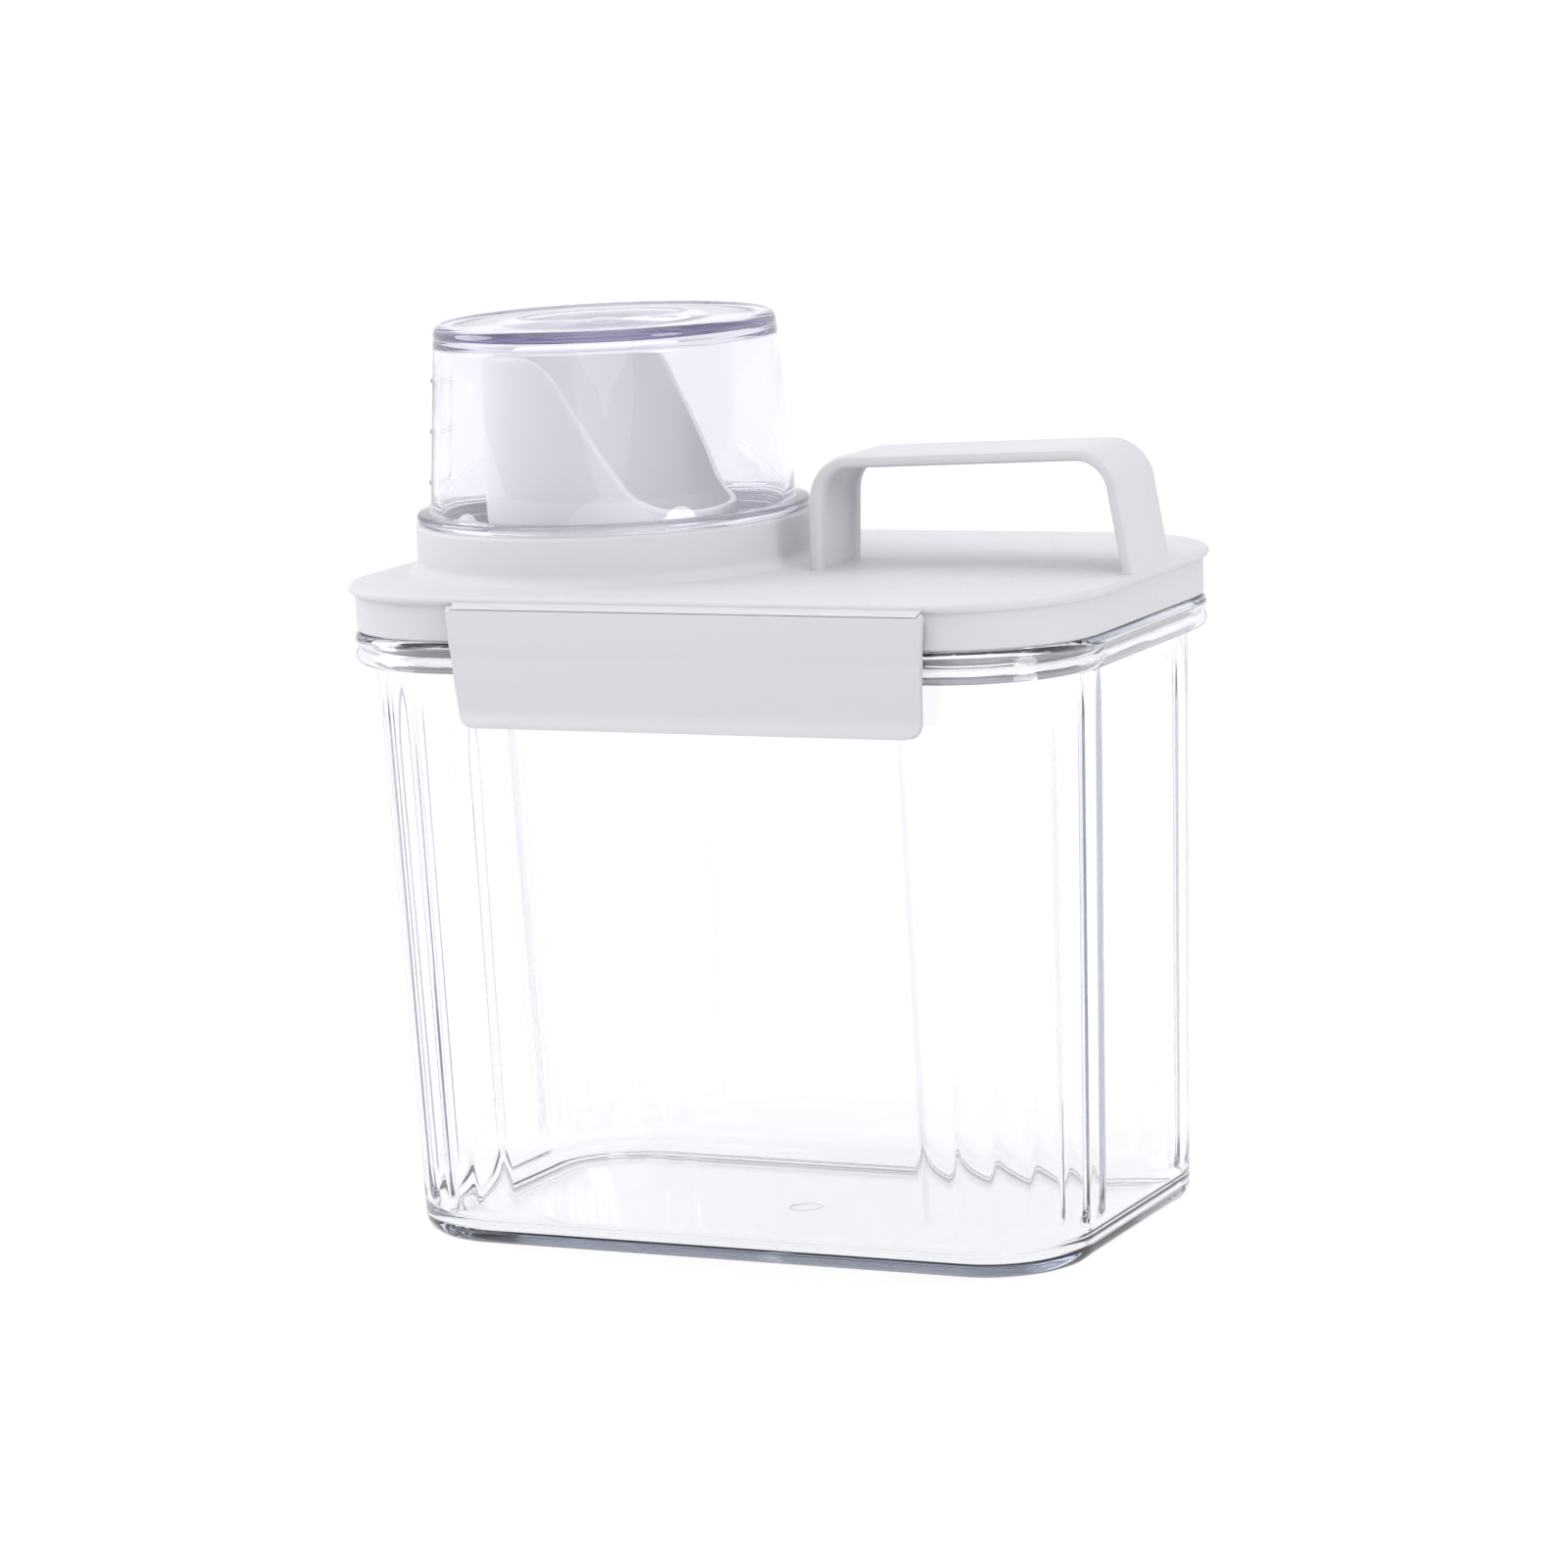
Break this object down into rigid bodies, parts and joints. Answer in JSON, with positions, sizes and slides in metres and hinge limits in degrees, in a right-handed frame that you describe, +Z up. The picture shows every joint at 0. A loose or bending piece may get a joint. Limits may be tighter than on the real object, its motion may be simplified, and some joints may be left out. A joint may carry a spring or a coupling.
{
  "type": "laundry powder dispenser",
  "caption": "Clear plastic laundry powder dispenser with a white handled lid, a scoop-shaped pouring spout, a violet measuring cup over it and clip latches on both long sides.",
  "frame": {"origin": "centre of the base on the surface it stands on", "axes": "+X along the length towards the handle end, -X the spout end, -Y the front latch seen in the picture, +Z up"},
  "size_m": [0.17, 0.1138, 0.192],
  "materials": {
    "clear_plastic": "gloss",
    "violet_clear_plastic": "gloss",
    "white_plastic": "satin",
    "spout_plastic": "gloss",
    "silicone": "matte"
  },
  "bodies": {
    "container": {"container": "clear_plastic"},
    "lid": {"lid": "white_plastic", "seal_ring": "silicone", "pour_spout": "spout_plastic"},
    "cup": {"measuring_cup": "violet_clear_plastic"},
    "front_latch": {"front_latch": "white_plastic"},
    "rear_latch": {"rear_latch": "white_plastic"}
  },
  "joints": [
    {"name": "lid_lift", "type": "slide", "parent": "container", "child": "lid", "axis": [0, 0, 1], "range_m": [0, 0.06]},
    {"name": "cup_lift", "type": "slide", "parent": "lid", "child": "cup", "axis": [0, 0, 1], "range_m": [0, 0.05]},
    {"name": "front_latch_swing", "type": "hinge", "parent": "lid", "child": "front_latch", "pos_m": [0.0045, -0.05585, 0.13695], "axis": [-1, 0, 0], "range_deg": [0, 100]},
    {"name": "rear_latch_swing", "type": "hinge", "parent": "lid", "child": "rear_latch", "pos_m": [0.0045, 0.05585, 0.13695], "axis": [1, 0, 0], "range_deg": [0, 100]}
  ]
}
